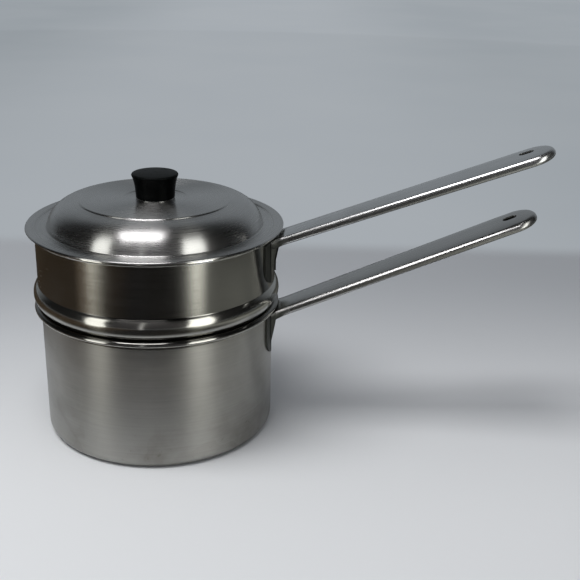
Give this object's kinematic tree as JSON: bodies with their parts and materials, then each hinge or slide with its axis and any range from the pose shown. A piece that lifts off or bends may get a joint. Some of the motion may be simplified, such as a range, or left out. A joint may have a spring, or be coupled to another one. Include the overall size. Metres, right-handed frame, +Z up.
{
  "type": "double boiler",
  "caption": "Stainless steel double boiler with a straight-sided lower pan, a beaded upper pan that nests in it and a domed lid with a black knob.",
  "frame": {"origin": "centre of the lower pan's flat base, on the pans' common axis", "axes": "+Z up along the pans' axis, +X along the lower pan's handle"},
  "size_m": [0.3544, 0.178, 0.2147],
  "materials": {
    "lower_pan_steel": "satin stainless steel, worn by use",
    "upper_pan_steel": "polished stainless steel",
    "handle_steel": "satin stainless steel stamping",
    "lid_steel": "polished stainless steel with fine scratches",
    "knob_black": "black phenolic resin, satin",
    "bush_brass": "turned brass",
    "fixing_steel": "plain stainless steel"
  },
  "bodies": {
    "lower": {"lower_pan": "lower_pan_steel", "lower_handle": "handle_steel"},
    "insert": {"upper_pan": "upper_pan_steel", "upper_handle": "handle_steel"},
    "cover": {"lid": "lid_steel", "knob": "knob_black", "knob_bush": "bush_brass", "knob_collar": "fixing_steel", "knob_screw": "fixing_steel", "screw_washer": "fixing_steel", "lock_washer": "fixing_steel"}
  },
  "joints": [
    {"name": "insert_lift", "type": "slide", "parent": "lower", "child": "insert", "axis": [0, 0, 1], "range_m": [0, 0.06]},
    {"name": "lid_lift", "type": "slide", "parent": "insert", "child": "cover", "axis": [0, 0, 1], "range_m": [0, 0.06]}
  ]
}
